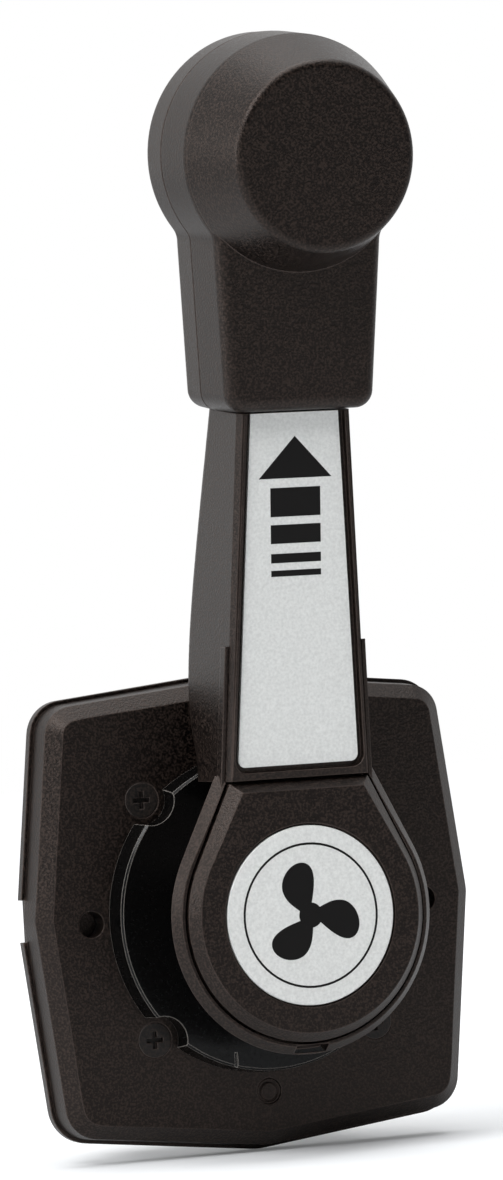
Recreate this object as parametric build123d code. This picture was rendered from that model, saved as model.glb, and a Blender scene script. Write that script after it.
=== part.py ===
from build123d import *
import math
import os

# Side-mount boat throttle control: a hand lever on a moulded escutcheon, with the geared
# cable drive that it turns behind the panel.
#
# Frame: millimetres, +Z up. The panel face is the XZ plane and the lever's pivot is the Y axis.
# "out" is a distance in front of the panel face, towards -Y. Behind the panel it is negative.

# ---- clearances -------------------------------------------------------------------------
running_fit = 0.05          # radial, shafts and pins that turn in a bore
seat_fit = 0.02             # radial, pieces that are pressed or keyed together
moulding_gap = 0.15         # between moulded pieces that slide into each other
thrust_gap = 0.3            # along the pivot, between pieces that turn past each other
same_place = 0.001

# ---- escutcheon outline -----------------------------------------------------------------
plate_vertex_x = 59.2       # side vertices, level with the pivot
plate_vertex_z = 1.5
plate_top_x = 53.1          # upper corners
plate_top_z = 54.2
plate_peak_z = 59.6         # shallow peak of the top edge
plate_bottom_x = 53.1       # lower corners
plate_bottom_z = 53.1
plate_keel_z = 59.3         # vertex of the bottom edge
plate_vertex_radius = 10.0
plate_top_radius = 8.0
plate_peak_radius = 40.0
plate_bottom_radius = 9.0
plate_keel_radius = 16.0

# ---- escutcheon pieces ------------------------------------------------------------------
back_thickness = 2.5
back_lip = 0.9              # how far the back plate shows around the cover
cover_height = 10.0
cover_draft = 5.0           # degrees
cover_bevel = 3.3
cover_wall = 3.6
cover_skin = 3.0
cover_rib = 2.0
notch_height = 10.5         # pry notches at the side vertices
notch_depth = 1.8
mount_circle = 90.0         # diameter of the mounting hole circle
mount_hole_radius = 3.3
mount_boss_radius = 6.5
collar_radius = 40.2
collar_height = 6.5
collar_draft = 0.8          # radius lost from base to face
collar_edge = 0.5
collar_core_radius = 14.0
collar_web_radius = 31.0
collar_skin = 2.5
scallop_radius = 6.2
slit_width = 0.7
slit_x = -11.0
slit_length = 6.0

# ---- fixing screws ----------------------------------------------------------------------
frame_screw_pitch = 59.8    # side of the square on which the housing screws sit
frame_screw_radius = 2.4
frame_screw_hole = 2.7
frame_head_radius = 4.4
frame_head_height = 2.8
frame_screw_reach = 12.0    # how far the front screws enter the housing
cover_screw_reach = 10.0
recess_width = 1.2          # arms of the cross recess
recess_depth = 1.4

# ---- pivot ------------------------------------------------------------------------------
shaft_radius = 6.0
bush_radius = 9.0
bush_flange_radius = 11.0
bush_flange = 1.2
square_side = 8.6
square_length = 9.5
shaft_groove_radius = 5.3
ring_radius = 8.4
ring_thickness = 1.0
ring_gap = 5.0

# ---- housing behind the panel -----------------------------------------------------------
housing_side = 72.0
housing_corner = 6.1
housing_depth = 26.0
housing_wall = 2.5
housing_floor = 3.0
housing_boss_radius = 5.6
rear_thickness = 3.0
rear_boss_radius = 9.5
rear_boss_height = 3.0
lay_boss_radius = 7.0
lay_boss_height = 3.4

# ---- gear pair --------------------------------------------------------------------------
gear_module = 1.5
pinion_teeth = 12
sector_teeth = 20           # as a full wheel
sector_cut_teeth = 8
towards_pinion = -90.0      # degrees, from the lay shaft straight down
pressure_angle = 25.0
tooth_addendum = 0.8        # shares of the module
tooth_dedendum = 1.1
tooth_play = 0.25           # backlash at the pitch circle
gear_width = 8.0
gear_front = -5.0           # out position of the pinion's front face
sector_inset = 0.5
sector_hub_radius = 6.8
sector_half_angle = 71.0
drum_radius = 11.2
drum_width = 8.0
key_width = 3.0
key_height = 3.2
lay_radius = 4.0
lay_floor_skin = 0.8
lay_square = 5.4
lay_thread_radius = 2.6

# ---- friction brake ---------------------------------------------------------------------
brake_radius = 3.0
brake_boss_radius = 6.2
brake_boss_start = 13.5
pad_length = 8.0
grub_inset = 0.6
grub_slot_width = 1.0
grub_slot_depth = 1.6

# ---- cable drive ------------------------------------------------------------------------
arm_reach = 30.0
arm_second_hole = 20.0     # for a shorter cable stroke
arm_root_radius = 8.0
arm_tip_radius = 5.0
arm_thickness = 3.0
nut_flat = 9.0
nut_height = 4.0
pin_radius = 2.5
pin_head_radius = 3.8
cable_line_offset = 14.0    # from the housing's rear edge back to the cable
cable_line_depth = housing_depth + cable_line_offset
eye_radius = 5.6
eye_width = 6.8
eye_shank_radius = 3.2
eye_shank_length = 23.0
eye_thread_radius = 1.7
eye_thread_depth = 14.0
clip_radius = 4.4
clip_thickness = 0.8
clip_groove_radius = 2.1
bracket_thickness = 2.0
bracket_edge_radius = 6.0
stud_x = arm_reach          # the cable runs straight up to the eye
stud_z = -46.0
stud_radius = 3.0
stud_head_radius = 4.6
stud_head = 0.9
barrel_radius = 6.5
barrel_length = 5.0
clamp_radius = 5.4
clamp_length = 16.0
clamp_bore_radius = 2.6
bracket_screw_spots = [(12.0, -27.5), (27.5, -13.0)]
small_screw_radius = 1.9
small_head_radius = 3.6
small_head_height = 2.4
small_boss_radius = 4.8
small_screw_reach = 8.0

# ---- lever hub --------------------------------------------------------------------------
hub_radius = 34.5
hub_shoulder_x = 20.9       # where the hub outline meets the cheeks
hub_shoulder_rise = 1.0     # of that corner over the hub's round part
hub_shoulder_z = hub_radius + hub_shoulder_rise
hub_edge_out = 40.0
hub_face_out = 42.5
hub_chamfer = 1.9
hub_draft = 8.0             # inset of the hub outline at its rear face
hub_wall = 3.0
hub_floor_out = 28.0
hub_floor = 3.0
hub_boss_radius = 12.0
hub_boss_length = 13.0
cap_radius = 31.2
cap_top_x = 18.4
cap_top_z = 33.3
cap_gap = 0.6
cap_ledge_out = 38.7
cap_ledge = 2.2
cap_edge_out = 43.2
cap_face_out = 46.0
cap_bevel = 2.3
cap_skin = 2.4
cap_wall = 1.8
badge_radius = 22.1
badge_groove = 0.5
badge_thickness = 0.95
badge_recess = 1.0
badge_edge = 0.2
pry_width = 8.6
pry_height = 2.0
pry_depth = 5.5
pry_lip = 0.5
washer_radius = 9.0
washer_thickness = 1.5
hub_screw_radius = 2.5
hub_screw_flat = 9.0
hub_screw_head = 4.0
hub_screw_reach = 14.0

# ---- lever arm --------------------------------------------------------------------------
lean_angle = 6.66           # degrees, outward lean of the arm's face
face_z = 37.1               # where the decal's lower edge lies on the leaning face
face_out = 43.5
arm_base_z = 33.9
arm_base_x = 19.1
arm_top_x = 14.9
arm_rim = 1.1               # height of the rim around the decal
arm_corner = 4.0
arm_edge = 0.9              # of the long front edges, measured on the face
arm_edge_depth = 2.1
arm_line = 2.0              # from the decal to the fine line beside it
arm_line_width = 0.3
arm_line_depth = 0.3
arm_rear_low = (21.0, 33.9)                 # (out, z), ends of the rear curve
arm_rear_high = (32.5, 128.0)
arm_rear_pulls = [(21.5, 45.0), (11.0, 46.0), (11.5, 62.0), (19.0, 84.0), (27.0, 110.0)]
neck_wall = 1.1
neck_setback = 1.0
neck_rear_low = (38.6, 26.0)
neck_rear_pull = (40.2, 46.0)
neck_rear_high = (43.0, 67.0)
tongue_x = 11.0
tongue_bottom_z = 13.2
tongue_thickness = 4.5
tongue_screw_x = 6.0
tongue_screw_z = 22.5
decal_bottom_x = 16.0
decal_top_x = 11.6
decal_thickness = 0.8
decal_end_gap = 0.1
decal_corner = 1.8
decal_groove = 1.3
tang_x = 9.0
tang_front = -2.0
tang_rear = -11.0
tang_end = 146.0

# ---- knob, in the leaning frame (x, along the arm, off the decal face) --------------------
knob_head_radius = 29.8
knob_head_at = 149.8
knob_neck_bottom = 87.0
decal_length = knob_neck_bottom - decal_end_gap
knob_neck_bottom_x = 19.8
knob_neck_top_x = 22.3
knob_neck_top = 128.0
knob_crotch_radius = 5.0
knob_bottom_radius = 5.0
knob_seam = -11.0
knob_front = 5.3
knob_rear = -23.5
knob_seam_bevel = 0.35
knob_draft = 2.0            # degrees
knob_front_round = 3.0
knob_rear_round = 3.6
knob_wall = 3.0
boss_base_radius = 29.0
boss_face_radius = 22.9
boss_face = 21.7
boss_round = 2.1
knob_screw_spots = [108.0, 139.0]
knob_screw_radius = 2.0
knob_head_screw_radius = 3.8
knob_screw_head = 2.6
knob_pillar_radius = 5.0
knob_counterbore = 0.3

# ---- worked out from the sizes above ----------------------------------------------------
cover_face = back_thickness + cover_height
collar_face = cover_face + collar_height
hub_rear_out = collar_face + 2 * thrust_gap
bush_face = collar_face + bush_flange
square_start = bush_face + 2 * thrust_gap
shaft_front = square_start + square_length
hub_boss_front = square_start + hub_boss_length
hub_boss_rear = bush_face + thrust_gap
rear_face = -(housing_depth + rear_thickness)
rear_boss_face = rear_face - rear_boss_height
lay_boss_face = rear_face - lay_boss_height
frame_screw_at = frame_screw_pitch / 2
pinion_pitch_radius = gear_module * pinion_teeth / 2
sector_pitch_radius = gear_module * sector_teeth / 2
lay_z = pinion_pitch_radius + sector_pitch_radius
gear_rear = gear_front - gear_width
drum_rear = gear_rear - drum_width
brake_out = gear_rear - drum_width / 2
arm_face_back = lay_boss_face - thrust_gap
arm_rear_out = arm_face_back - arm_thickness
eye_front = -cable_line_depth + eye_width / 2
eye_rear = -cable_line_depth - eye_width / 2
bracket_rear = rear_face - bracket_thickness


# ---- helpers ----------------------------------------------------------------------------
def level(out):
    """Plane parallel to the panel; its local axes are X and Z."""
    return Plane.XZ.offset(out)


def slab(outline, start, end):
    """Solid with a flat outline between two out positions."""
    return extrude(level(start) * outline, end - start)


def rod(radius, start, end, x=0.0, z=0.0):
    """Round bar along the pivot direction."""
    return slab(Pos(x, z) * Circle(radius), start, end)


def cone(rear_radius, front_radius, start, end, x=0.0, z=0.0):
    """Truncated cone along the pivot direction."""
    middle = level((start + end) / 2) * Pos(x, z)
    return middle * Cone(rear_radius, front_radius, end - start)


def ring(outer, inner, start, end, x=0.0, z=0.0):
    """Tube along the pivot direction."""
    return slab(Pos(x, z) * (Circle(outer) - Circle(inner)), start, end)


def lean(off):
    """Plane along the leaning face of the arm; its local axes are X and the arm's length."""
    tilt = math.radians(lean_angle)
    face = Plane(
        origin=(0, -face_out, face_z),
        x_dir=(1, 0, 0),
        z_dir=(0, -math.cos(tilt), -math.sin(tilt)),
    )
    return face.offset(off)


def lean_slab(outline, start, end):
    """Solid with a flat outline between two distances off the decal face."""
    return extrude(lean(start) * outline, end - start)


def corners(half_side):
    """The four corners of a square about the pivot."""
    return [(x, z) for x in (-half_side, half_side) for z in (-half_side, half_side)]


def mount_spots():
    """The four mounting hole centres, level with, above and below the pivot."""
    reach = mount_circle / 2
    return [(reach, 0), (0, reach), (-reach, 0), (0, -reach)]


def cross_recess(head_radius):
    """Outline of a cross recess, half as wide as the head."""
    return Rectangle(head_radius, recess_width) + Rectangle(recess_width, head_radius)


def pan_screw(head_radius, head_height, shank_radius, seat, head_side, reach, x=0.0, z=0.0):
    """Pan-head screw with a cross recess; head_side is +1 for a head in front of its seat."""
    crown = seat + head_side * head_height
    tip = seat - head_side * reach
    head = rod(head_radius, min(seat, crown), max(seat, crown), x, z)
    rim = head.faces().sort_by(Axis.Y)[0 if head_side > 0 else -1].edges()
    head = fillet(rim, head_height * 0.45)
    shank = rod(shank_radius, min(seat, tip), max(seat, tip), x, z)
    recess = Pos(x, z) * cross_recess(head_radius)
    floor = crown - head_side * recess_depth
    return head + shank - slab(recess, min(floor, crown), max(floor, crown))


# ---- escutcheon -------------------------------------------------------------------------
def plate_outline():
    """Six-sided outline, symmetric about the pivot line."""
    right = [
        (0, plate_peak_z, plate_peak_radius),
        (plate_top_x, plate_top_z, plate_top_radius),
        (plate_vertex_x, plate_vertex_z, plate_vertex_radius),
        (plate_bottom_x, -plate_bottom_z, plate_bottom_radius),
        (0, -plate_keel_z, plate_keel_radius),
    ]
    left = [(-x, z, radius) for x, z, radius in reversed(right[1:-1])]
    spots = right + left
    return make_face(
        FilletPolyline(
            *[(x, z) for x, z, radius in spots],
            radius=[radius for x, z, radius in spots],
            close=True,
        )
    )


def make_back_plate():
    plate = slab(offset(plate_outline(), back_lip), 0, back_thickness)
    plate -= rod(bush_radius + seat_fit, 0, back_thickness)
    for x, z in mount_spots():
        plate -= rod(mount_hole_radius, 0, back_thickness, x, z)
    for x, z in corners(frame_screw_at):
        plate -= rod(frame_screw_hole, 0, back_thickness, x, z)
    for side in (-1, 1):
        edge = side * (plate_vertex_x + back_lip)
        notch = Pos(edge, plate_vertex_z) * Rectangle(2 * notch_depth, notch_height)
        plate -= slab(notch, 0, back_thickness)
    return plate


def frame_screw_head(x, z, grow=0.0):
    """Countersunk head, flush with the cover."""
    return cone(frame_screw_radius + grow, frame_head_radius + grow,
                cover_face - frame_head_height, cover_face, x, z)


def make_cover_plate():
    cover = extrude(level(back_thickness) * plate_outline(), cover_height, taper=cover_draft)
    cover = chamfer(cover.faces().sort_by(Axis.Y)[0].edges(), cover_bevel)
    hollow_top = cover_face - cover_skin
    hollow = slab(offset(plate_outline(), -cover_wall), back_thickness, hollow_top)
    for x, z in mount_spots():
        hollow -= rod(mount_boss_radius, back_thickness, hollow_top, x, z)
    for x, z in corners(frame_screw_at):
        hollow -= rod(housing_boss_radius, back_thickness, hollow_top, x, z)
    hollow -= rod(collar_core_radius, back_thickness, hollow_top)
    for angle in (0, 45, 90, 135):
        rib = Rot(0, 0, angle) * Rectangle(2 * plate_vertex_x, cover_rib)
        hollow -= slab(rib, back_thickness, hollow_top)
    cover -= hollow
    cover -= rod(bush_radius + seat_fit, back_thickness, cover_face)
    for x, z in mount_spots():
        cover -= rod(mount_hole_radius, back_thickness, cover_face, x, z)
    for x, z in corners(frame_screw_at):
        cover -= rod(frame_screw_hole, back_thickness, cover_face, x, z)
        cover -= frame_screw_head(x, z, moulding_gap)
    return cover


def make_collar():
    front_radius = collar_radius - collar_draft
    collar = cone(collar_radius, front_radius, cover_face, collar_face)
    collar = chamfer(collar.faces().sort_by(Axis.Y)[0].edges(), collar_edge)
    collar -= ring(collar_web_radius, collar_core_radius, cover_face, collar_face - collar_skin)
    collar -= rod(bush_radius + seat_fit, cover_face, collar_face)
    for x, z in corners(frame_screw_at):
        collar -= rod(scallop_radius, cover_face, collar_face, x, z)
    slit_z = slit_length / 2 - collar_radius
    slit = Pos(slit_x, slit_z) * Rectangle(slit_width, slit_length)
    collar -= slab(slit, collar_face - collar_edge, collar_face)
    return collar


def make_frame_screws():
    screws = []
    for x, z in corners(frame_screw_at):
        shank = rod(frame_screw_radius, -frame_screw_reach, cover_face, x, z)
        recess = Pos(x, z) * cross_recess(frame_head_radius)
        recess = slab(recess, cover_face - recess_depth, cover_face)
        screws.append(shank + frame_screw_head(x, z) - recess)
    return Part() + screws


def make_shaft_bush():
    bush = ring(bush_radius, shaft_radius + running_fit, 0, collar_face)
    return bush + ring(bush_flange_radius, shaft_radius + running_fit, collar_face, bush_face)


# ---- housing and gears behind the panel --------------------------------------------------
def make_housing():
    box = RectangleRounded(housing_side, housing_side, housing_corner)
    inner_side = housing_side - 2 * housing_wall
    housing = slab(box, -housing_depth, 0)
    hollow = slab(Rectangle(inner_side, inner_side), -housing_depth, -housing_floor)
    for x, z in corners(frame_screw_at):
        hollow -= rod(housing_boss_radius, -housing_depth, -housing_floor, x, z)
    brake_length = housing_side / 2 - brake_boss_start
    brake_mid = -(housing_side / 2 + brake_boss_start) / 2
    brake_axis = Pos(brake_mid, -brake_out, 0) * Rot(0, 90, 0)
    hollow -= brake_axis * Cylinder(brake_boss_radius, brake_length)
    housing -= hollow
    housing -= brake_axis * Cylinder(brake_radius + running_fit, brake_length)
    housing -= rod(shaft_radius + thrust_gap, -housing_floor, 0)
    housing -= rod(lay_radius + running_fit, -housing_floor, -lay_floor_skin, 0, lay_z)
    for x, z in corners(frame_screw_at):
        housing -= rod(frame_screw_radius + seat_fit, -frame_screw_reach, 0, x, z)
        cover_hole_end = -housing_depth + cover_screw_reach
        housing -= rod(frame_screw_radius + seat_fit, -housing_depth, cover_hole_end, x, z)
    return housing


def make_rear_cover():
    box = RectangleRounded(housing_side, housing_side, housing_corner)
    cover = slab(box, rear_face, -housing_depth)
    cover = fillet(cover.faces().sort_by(Axis.Y)[-1].edges(), rear_thickness * 0.3)
    cover += rod(rear_boss_radius, rear_boss_face, rear_face)
    cover += rod(lay_boss_radius, lay_boss_face, rear_face, 0, lay_z)
    for x, z in bracket_screw_spots:
        cover += rod(small_boss_radius, -housing_depth, -housing_depth + small_screw_reach, x, z)
    cover -= rod(shaft_radius + running_fit, rear_boss_face, -housing_depth)
    cover -= rod(lay_radius + running_fit, lay_boss_face, -housing_depth, 0, lay_z)
    for x, z in corners(frame_screw_at):
        cover -= rod(frame_screw_hole, rear_face, -housing_depth, x, z)
    for x, z in bracket_screw_spots:
        blind = -housing_depth + small_screw_reach - lay_floor_skin
        cover -= rod(small_screw_radius + seat_fit, rear_face, blind, x, z)
    return cover


def make_rear_screws():
    reach = rear_thickness + cover_screw_reach
    return Part() + [
        pan_screw(frame_head_radius, frame_head_height, frame_screw_radius,
                  rear_face, -1, reach, x, z)
        for x, z in corners(frame_screw_at)
    ]


def involute(angle):
    """Roll angle minus pressure angle, in radians."""
    return math.tan(angle) - angle


def tooth_flank(teeth, radius):
    """Half the angle that a tooth spans at a radius, in radians."""
    pitch_radius = gear_module * teeth / 2
    base_radius = pitch_radius * math.cos(math.radians(pressure_angle))
    at_pitch = math.pi / (2 * teeth) - tooth_play / (4 * pitch_radius)
    pressure = math.acos(min(1.0, base_radius / max(radius, base_radius)))
    return at_pitch + involute(math.radians(pressure_angle)) - involute(pressure)


def toothed_arc(teeth, first_angle, count):
    """Points along the teeth of a spur wheel; first_angle is the middle of the first tooth."""
    pitch_radius = gear_module * teeth / 2
    root = pitch_radius - tooth_dedendum * gear_module
    tip = pitch_radius + tooth_addendum * gear_module
    radii = [root + (tip - root) * share for share in (0.0, 0.35, 0.65, 0.85, 1.0)]
    points = []
    for tooth in range(count):
        middle = math.radians(first_angle) + tooth * 2 * math.pi / teeth
        rising = [(r, middle - tooth_flank(teeth, r)) for r in radii]
        falling = [(r, middle + tooth_flank(teeth, r)) for r in reversed(radii)]
        points += [(r * math.cos(a), r * math.sin(a)) for r, a in rising + falling]
    return points


def key_slot():
    """Section of the key between the shaft and the pinion."""
    return Pos(0, shaft_radius) * Rectangle(key_width, key_height)


def make_drive_pinion():
    teeth = toothed_arc(pinion_teeth, -towards_pinion, pinion_teeth)
    wheel = make_face(Polyline(*teeth, close=True))
    pinion = slab(wheel, gear_rear, gear_front) + rod(drum_radius, drum_rear, gear_rear)
    pinion -= rod(shaft_radius + seat_fit, drum_rear, gear_front)
    return pinion - slab(offset(key_slot(), seat_fit), gear_rear, gear_front)


def make_gear_key():
    return slab(key_slot(), gear_rear, gear_front)


def make_throttle_sector():
    pitch = 360 / sector_teeth
    first = towards_pinion - pitch * (sector_cut_teeth - 1) / 2
    rim = toothed_arc(sector_teeth, first, sector_cut_teeth)
    web = make_face(Polyline((0, 0), *rim, close=True)) + Circle(sector_hub_radius)
    hub = Circle(sector_hub_radius)
    place = Pos(0, lay_z)
    sector = slab(place * web, gear_rear + sector_inset, gear_front - sector_inset)
    hub_rear = -housing_depth + thrust_gap
    sector += slab(place * hub, hub_rear, -housing_floor - thrust_gap)
    return sector - rod(lay_radius + seat_fit, hub_rear, 0, 0, lay_z)


def make_lay_shaft():
    place = Pos(0, lay_z)
    shaft = rod(lay_radius, arm_face_back, -lay_floor_skin - thrust_gap, 0, lay_z)
    shaft += slab(place * Rectangle(lay_square, lay_square), arm_rear_out, arm_face_back)
    return shaft + rod(lay_thread_radius, arm_rear_out - nut_height - thrust_gap,
                       arm_rear_out, 0, lay_z)


def make_drive_shaft():
    groove_front = rear_boss_face - thrust_gap
    groove_rear = groove_front - ring_thickness
    tail = groove_rear - 1.5 * ring_thickness
    shaft = rod(shaft_radius, tail, square_start)
    shaft += slab(Rectangle(square_side, square_side), square_start, shaft_front)
    shaft -= slab(key_slot(), gear_rear, gear_front)
    shaft -= ring(2 * shaft_radius, shaft_groove_radius, groove_rear, groove_front)
    thread_end = hub_boss_front - hub_screw_reach
    return shaft - rod(hub_screw_radius + seat_fit, thread_end, shaft_front)


def make_retaining_ring():
    front = rear_boss_face - thrust_gap
    clip = ring(ring_radius, shaft_groove_radius + seat_fit, front - ring_thickness, front)
    mouth = Pos(0, -ring_radius) * Rectangle(ring_gap, ring_radius)
    return clip - slab(mouth, front - ring_thickness, front)


# ---- friction brake ---------------------------------------------------------------------
def make_friction_pad():
    """Plug that the friction screw presses on the drum; its inner end is hollowed to the drum."""
    inner = drum_radius + thrust_gap
    outer = inner + pad_length
    axis = Pos(-outer / 2, -brake_out, 0) * Rot(0, 90, 0)
    return axis * Cylinder(brake_radius, outer) - rod(inner, drum_rear, gear_rear)


def make_friction_screw():
    inner = drum_radius + thrust_gap + pad_length
    outer = housing_side / 2 - grub_inset
    length = outer - inner
    screw = Pos(-(inner + outer) / 2, -brake_out, 0) * Rot(0, 90, 0) * Cylinder(brake_radius, length)
    slot = Pos(-outer, -brake_out, 0) * Box(2 * grub_slot_depth, 3 * brake_radius, grub_slot_width)
    return screw - slot


# ---- cable drive ------------------------------------------------------------------------
def make_throttle_arm():
    root = Pos(0, lay_z) * Circle(arm_root_radius)
    tip = Pos(arm_reach, lay_z) * Circle(arm_tip_radius)
    blade = make_hull(root.edges() + tip.edges())
    blade -= Pos(0, lay_z) * Rectangle(lay_square + 2 * seat_fit, lay_square + 2 * seat_fit)
    for reach in (arm_reach, arm_second_hole):
        blade -= Pos(reach, lay_z) * Circle(pin_radius + seat_fit)
    return slab(blade, arm_rear_out, arm_face_back)


def make_arm_nut():
    hexagon = Pos(0, lay_z) * RegularPolygon(nut_flat / 2, 6, major_radius=False)
    nut = slab(hexagon, arm_rear_out - nut_height, arm_rear_out)
    return nut - rod(lay_thread_radius + seat_fit, arm_rear_out - nut_height,
                     arm_rear_out, 0, lay_z)


def pin_clip_front():
    """Out position of the front face of the clip that keeps the eye on its pin."""
    return eye_rear - thrust_gap


def make_arm_pin():
    clip_rear = pin_clip_front() - clip_thickness
    pin = rod(pin_radius, clip_rear - clip_thickness, arm_face_back, arm_reach, lay_z)
    pin += rod(pin_head_radius, eye_front + thrust_gap, arm_rear_out, arm_reach, lay_z)
    return pin - ring(2 * pin_radius, clip_groove_radius, clip_rear, pin_clip_front(),
                      arm_reach, lay_z)


def make_pin_clip():
    front = pin_clip_front()
    clip = ring(clip_radius, clip_groove_radius + seat_fit, front - clip_thickness, front,
                arm_reach, lay_z)
    mouth = Pos(arm_reach + clip_radius, lay_z) * Rectangle(clip_radius, 2 * clip_groove_radius)
    return clip - slab(mouth, front - clip_thickness, front)


def make_cable_eye():
    eye = rod(eye_radius, eye_rear, eye_front, arm_reach, lay_z)
    shank_top = Pos(arm_reach, cable_line_depth, lay_z - eye_shank_length / 2 - pin_radius)
    eye += shank_top * Cylinder(eye_shank_radius, eye_shank_length)
    eye -= rod(pin_radius + running_fit, eye_rear, eye_front, arm_reach, lay_z)
    end_z = lay_z - eye_shank_length - pin_radius
    thread = Pos(arm_reach, cable_line_depth, end_z + eye_thread_depth / 2)
    return eye - thread * Cylinder(eye_thread_radius, eye_thread_depth)


def make_cable_bracket():
    feet = [Pos(x, z) * Circle(bracket_edge_radius) for x, z in bracket_screw_spots]
    end = Pos(stud_x, stud_z) * Circle(bracket_edge_radius + bracket_thickness)
    blade = make_hull(feet[0].edges() + feet[1].edges() + end.edges())
    for x, z in bracket_screw_spots:
        blade -= Pos(x, z) * Circle(small_screw_radius + moulding_gap)
    blade -= Pos(stud_x, stud_z) * Circle(stud_radius + seat_fit)
    blade -= Pos(frame_screw_at, -frame_screw_at) * Circle(frame_head_radius + thrust_gap)
    return slab(blade, bracket_rear, rear_face)


def make_bracket_screws():
    reach = bracket_thickness + rear_thickness + small_screw_reach - 2 * lay_floor_skin
    return Part() + [
        pan_screw(small_head_radius, small_head_height, small_screw_radius,
                  bracket_rear, -1, reach, x, z)
        for x, z in bracket_screw_spots
    ]


def barrel_front():
    """Out position of the face of the barrel that runs against the bracket."""
    return bracket_rear - thrust_gap


def make_anchor_stud():
    end = barrel_front() - barrel_length - thrust_gap
    stud = rod(stud_radius, end, rear_face, stud_x, stud_z)
    return stud + rod(stud_head_radius, rear_face, rear_face + stud_head, stud_x, stud_z)


def make_anchor_barrel():
    rear = -cable_line_depth - clamp_radius
    barrel = rod(barrel_radius, -cable_line_depth, barrel_front(), stud_x, stud_z)
    sleeve = Pos(stud_x, cable_line_depth, stud_z)
    barrel += sleeve * Cylinder(clamp_radius, clamp_length)
    stud_end = barrel_front() - barrel_length - 2 * thrust_gap
    barrel -= rod(stud_radius + running_fit, stud_end, barrel_front(), stud_x, stud_z)
    return barrel - sleeve * Cylinder(clamp_bore_radius, clamp_length)


# ---- lever hub --------------------------------------------------------------------------
def keyhole(radius, top_x, top_z, inset=0.0):
    """Round outline drawn out to a flat top, moved inwards by an inset."""
    circle = Circle(radius - inset)
    bar = Pos(0, (top_z - inset) / 2) * Rectangle(2 * (top_x - inset), top_z - inset)
    return make_hull(circle.edges() + bar.edges())


def hub_outline(inset=0.0):
    return keyhole(hub_radius, hub_shoulder_x, hub_shoulder_z, inset)


def cap_outline(inset=0.0):
    return keyhole(cap_radius, cap_top_x, cap_top_z, inset)


def side_profile(front_off, rear_curve):
    """Side view of the arm between its leaning front and its curved rear, across the lever."""
    (low_out, low_z), (high_out, high_z) = rear_curve[0], rear_curve[-1]
    slope = math.tan(math.radians(lean_angle))
    front_low = face_out + front_off + (low_z - face_z) * slope
    front_high = face_out + front_off + (high_z - face_z) * slope
    rear = Bezier(*[(-out, z) for out, z in rear_curve])
    outline = rear + Polyline(
        (-high_out, high_z), (-front_high, high_z), (-front_low, low_z), (-low_out, low_z))
    return extrude(Plane.YZ * make_face(outline), hub_radius, both=True)


def taper_x(z):
    """Half width of the arm at a height."""
    top_z = face_z + decal_length
    share = (z - arm_base_z) / (top_z - arm_base_z)
    return arm_base_x + (arm_top_x - arm_base_x) * share


def taper_outline(bottom_z, top_z, grow):
    """Front view of the arm between two heights."""
    low, high = taper_x(bottom_z) + grow, taper_x(top_z) + grow
    return make_face(Polyline((-low, bottom_z), (low, bottom_z), (high, top_z), (-high, top_z),
                              close=True))


def round_rear(blank, radius):
    """Rounds the two long rear edges of the arm."""
    back = blank.faces().filter_by(lambda face: face.normal_at().Y > 0.7)
    edges = back.edges().filter_by(lambda edge: abs(edge.center().X) > 1
                                   and abs(edge.center().Y) < face_out)
    return fillet(edges, radius)


def arm_blank(grow=0.0):
    """The arm below the knob, without its recess."""
    rear_curve = (arm_rear_low, *arm_rear_pulls, arm_rear_high)
    curve = [(out - grow, z) for out, z in rear_curve]
    top_z = curve[-1][1]
    blank = slab(taper_outline(arm_base_z, top_z, grow), 0, 2 * face_out)
    blank &= side_profile(arm_rim, curve)
    blank = round_rear(blank, arm_corner)
    above = Pos(0, knob_neck_bottom + hub_radius) * Rectangle(2 * hub_radius, 2 * hub_radius)
    return blank - lean_slab(above, -2 * hub_radius, hub_radius)


def neck_blank():
    """The cheeks of the hub beside the arm, before they are parted."""
    sides = slab(taper_outline(neck_rear_low[1], neck_rear_high[1], neck_wall), 0, 2 * face_out)
    curve = (neck_rear_low, neck_rear_pull, neck_rear_high)
    return sides & side_profile(-neck_setback, curve)


def tongue(grow=0.0):
    """Flat foot of the arm that lies on the hub floor."""
    floor = hub_floor_out + hub_floor
    width = 2 * (tongue_x + grow)
    height = arm_base_z + hub_wall - tongue_bottom_z + grow
    foot = Pos(0, tongue_bottom_z - grow + height / 2) * Rectangle(width, height)
    return slab(foot, floor, floor + tongue_thickness + grow)


def tongue_screw_spots():
    return [(side * tongue_screw_x, tongue_screw_z) for side in (-1, 1)]


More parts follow.
